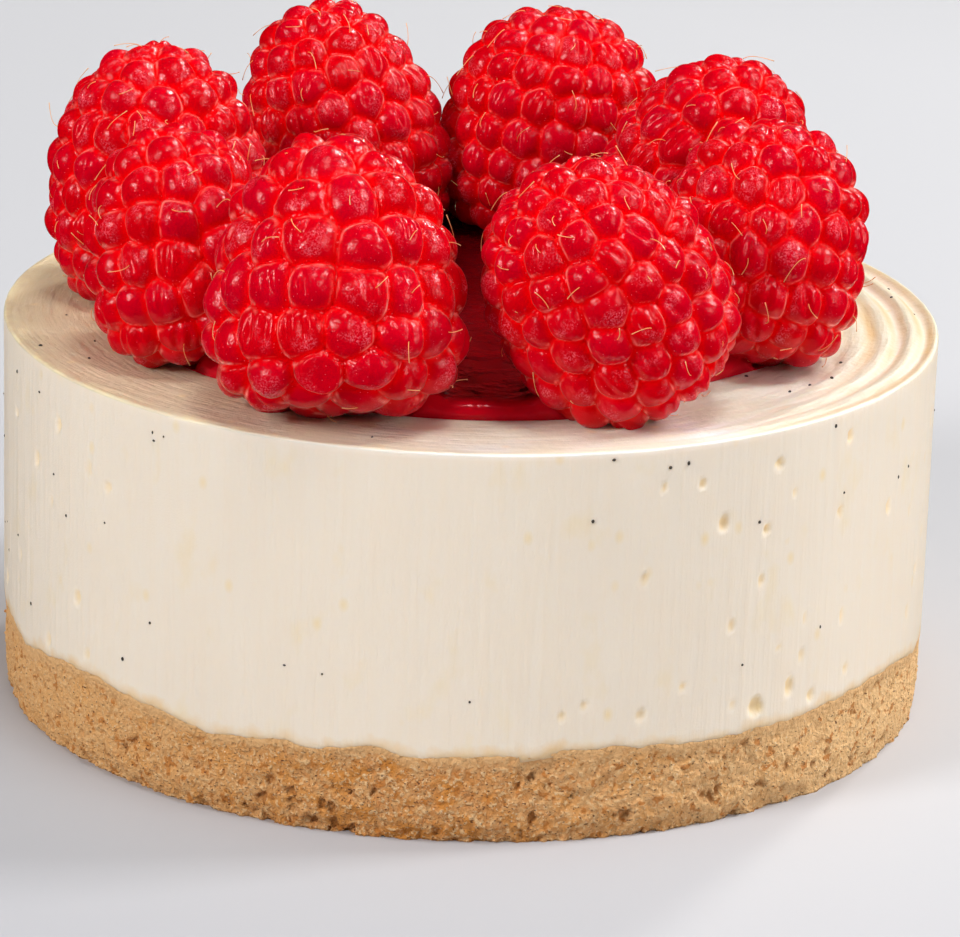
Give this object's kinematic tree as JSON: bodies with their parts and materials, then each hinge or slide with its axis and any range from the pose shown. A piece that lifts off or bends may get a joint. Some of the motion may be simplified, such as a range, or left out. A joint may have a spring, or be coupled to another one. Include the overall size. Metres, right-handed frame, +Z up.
{
  "type": "cheesecake",
  "caption": "Round single-serving cheesecake with a biscuit crumb crust, a thick cream layer, a pool of jam and whole red berries on top.",
  "frame": {"origin": "centre of the crust's underside", "axes": "+Z up through the cake, -Y towards the front, +X to the right as seen from the front"},
  "size_m": [0.085, 0.085, 0.0586],
  "materials": {
    "biscuit": "pressed buttery biscuit crumb, rough and matt",
    "cream": "smooth off-white set cream, soft sheen, with small air pits and vanilla seeds",
    "jam": "glossy dark red jam",
    "raspberry": "bright red, translucent, with a fine pale bloom"
  },
  "bodies": {
    "root": {"crust": "biscuit", "filling": "cream", "jam": "jam", "raspberry_left_back": "raspberry", "raspberry_left": "raspberry", "raspberry_front_left": "raspberry", "raspberry_front_right": "raspberry", "raspberry_right": "raspberry", "raspberry_right_back": "raspberry", "raspberry_back": "raspberry", "raspberry_back_left": "raspberry"}
  },
  "joints": []
}
